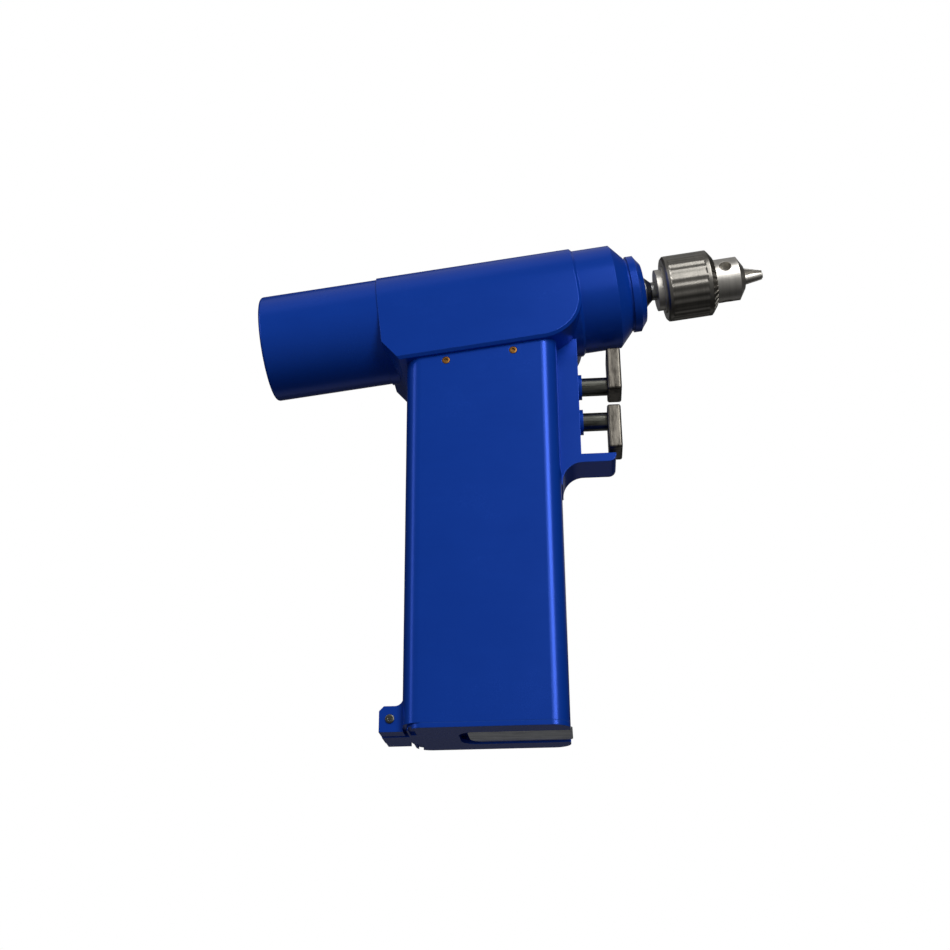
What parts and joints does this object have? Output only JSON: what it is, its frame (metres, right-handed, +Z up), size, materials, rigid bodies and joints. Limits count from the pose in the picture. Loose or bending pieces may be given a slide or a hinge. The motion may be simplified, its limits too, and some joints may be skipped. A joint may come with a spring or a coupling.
{
  "type": "surgical power drill",
  "caption": "Battery pistol-grip surgical drill: tilted barrel with motor and gearbox, keyed chuck, push triggers, finger hook and hinged battery lid with a sliding latch.",
  "frame": {"origin": "point of the battery lid's flat underside, on the middle plane, on which the drill rests upright", "axes": "+Z up the handle, +X towards the chuck, +Y to the drill's left side"},
  "size_m": [0.2149, 0.0462, 0.2099],
  "materials": {
    "blue_paint": "satin blue anodised-look paint",
    "steel": "turned stainless steel",
    "chuck_steel": "ground hardened steel",
    "latch_steel": "brushed stainless sheet",
    "trigger_steel": "streaky brushed stainless",
    "magnet_metal": "nickel plated magnet",
    "screw_brass": "brass coloured screw",
    "copper_winding": "varnished winding",
    "black_plastic": "moulded black plastic",
    "board_green": "coated circuit board",
    "cell_wrap": "shrink wrap",
    "seal_rubber": "silicone seal"
  },
  "bodies": {
    "drill_body": {"main_housing": "blue_paint", "motor_tube": "blue_paint", "nose_nut": "blue_paint", "handle_shell": "blue_paint", "trigger_housing": "blue_paint", "trigger_bushes": "blue_paint", "motor_can": "steel", "motor_bearings": "steel", "motor_front_plate": "steel", "ring_gear": "steel", "bearing_outer_rings": "steel", "bearing_balls": "steel", "bearing_spacer": "steel", "hinge_pin": "steel", "trigger_spring_upper": "steel", "trigger_spring_lower": "steel", "handle_screws": "screw_brass", "battery_contacts": "screw_brass", "contact_pins": "screw_brass", "motor_stator": "copper_winding", "battery_case": "black_plastic", "battery_cap": "black_plastic", "contact_block": "black_plastic", "board_parts": "black_plastic", "trigger_sensors": "black_plastic", "control_board": "board_green", "sensor_strip": "board_green", "battery_cells": "cell_wrap", "tube_seal": "seal_rubber", "shaft_seal": "seal_rubber", "motor_pad": "seal_rubber"},
    "spindle_unit": {"spindle": "steel", "planet_carrier": "steel", "planet_pins": "steel", "bearing_inner_rings": "steel", "chuck_body": "chuck_steel"},
    "motor_rotor": {"rotor_magnet": "magnet_metal", "motor_shaft": "steel", "sun_gear": "steel"},
    "planet_a": {"planet_gear_1": "steel"},
    "planet_b": {"planet_gear_2": "steel"},
    "planet_c": {"planet_gear_3": "steel"},
    "chuck_grip": {"chuck_sleeve": "chuck_steel", "chuck_nut": "chuck_steel"},
    "jaw_a": {"chuck_jaw_1": "chuck_steel"},
    "jaw_b": {"chuck_jaw_2": "chuck_steel"},
    "jaw_c": {"chuck_jaw_3": "chuck_steel"},
    "trigger_upper": {"trigger_plate_upper": "trigger_steel", "trigger_rod_upper": "steel", "trigger_magnet_upper": "magnet_metal"},
    "trigger_lower": {"trigger_plate_lower": "trigger_steel", "trigger_rod_lower": "steel", "trigger_magnet_lower": "magnet_metal"},
    "lid": {"battery_lid": "blue_paint"},
    "latch": {"lid_latch": "latch_steel"}
  },
  "joints": [
    {"name": "spindle_spin", "type": "hinge", "parent": "drill_body", "child": "spindle_unit", "pos_m": [0.014, 0, 0.1808], "axis": [0.993, 0, 0.1184], "continuous": true},
    {"name": "rotor_spin", "type": "hinge", "parent": "drill_body", "child": "motor_rotor", "pos_m": [0.014, 0, 0.1808], "axis": [0.993, 0, 0.1184], "continuous": true},
    {"name": "planet_a_spin", "type": "hinge", "parent": "spindle_unit", "child": "planet_a", "pos_m": [0.01272, 0, 0.19152], "axis": [0.993, 0, 0.1184], "continuous": true},
    {"name": "planet_b_spin", "type": "hinge", "parent": "spindle_unit", "child": "planet_b", "pos_m": [0.01464, -0.00935, 0.17544], "axis": [0.993, 0, 0.1184], "continuous": true},
    {"name": "planet_c_spin", "type": "hinge", "parent": "spindle_unit", "child": "planet_c", "pos_m": [0.01464, 0.00935, 0.17544], "axis": [0.993, 0, 0.1184], "continuous": true},
    {"name": "chuck_sleeve_turn", "type": "hinge", "parent": "spindle_unit", "child": "chuck_grip", "pos_m": [0.014, 0, 0.1808], "axis": [0.993, 0, 0.1184], "range_deg": [0, 1905]},
    {"name": "jaw_a_slide", "type": "slide", "parent": "spindle_unit", "child": "jaw_a", "axis": [-0.9879, -0.0885, 0.1271], "range_m": [0, 0.0079]},
    {"name": "jaw_b_slide", "type": "slide", "parent": "spindle_unit", "child": "jaw_b", "axis": [-0.9357, -0.1664, -0.3112], "range_m": [0, 0.0081]},
    {"name": "jaw_c_slide", "type": "slide", "parent": "spindle_unit", "child": "jaw_c", "axis": [-0.9538, 0.2549, -0.159], "range_m": [0, 0.0081]},
    {"name": "trigger_upper_press", "type": "slide", "parent": "drill_body", "child": "trigger_upper", "axis": [-1, 0, 0], "range_m": [0, 0.0038], "stiffness_N_per_m": 400, "springref_m": -0.003, "deforming": ["trigger_spring_upper"]},
    {"name": "trigger_lower_press", "type": "slide", "parent": "drill_body", "child": "trigger_lower", "axis": [-1, 0, 0], "range_m": [0, 0.0038], "stiffness_N_per_m": 400, "springref_m": -0.003, "deforming": ["trigger_spring_lower"]},
    {"name": "lid_hinge", "type": "hinge", "parent": "drill_body", "child": "lid", "pos_m": [-0.0172, 0, 0.0052], "axis": [0, 1, 0], "range_deg": [0, 110]},
    {"name": "latch_slide", "type": "slide", "parent": "lid", "child": "latch", "axis": [1, 0, 0], "range_m": [-0.003, 0]}
  ],
  "couplings": [
    {"joint": "rotor_spin", "follows": "spindle_spin", "ratio": 4},
    {"joint": "planet_a_spin", "follows": "spindle_spin", "ratio": -3},
    {"joint": "planet_b_spin", "follows": "spindle_spin", "ratio": -3},
    {"joint": "planet_c_spin", "follows": "spindle_spin", "ratio": -3},
    {"joint": "chuck_sleeve_turn", "follows": "jaw_a_slide", "rad_per_m": 4188.8},
    {"joint": "jaw_b_slide", "follows": "jaw_a_slide", "ratio": 1},
    {"joint": "jaw_c_slide", "follows": "jaw_a_slide", "ratio": 1}
  ]
}
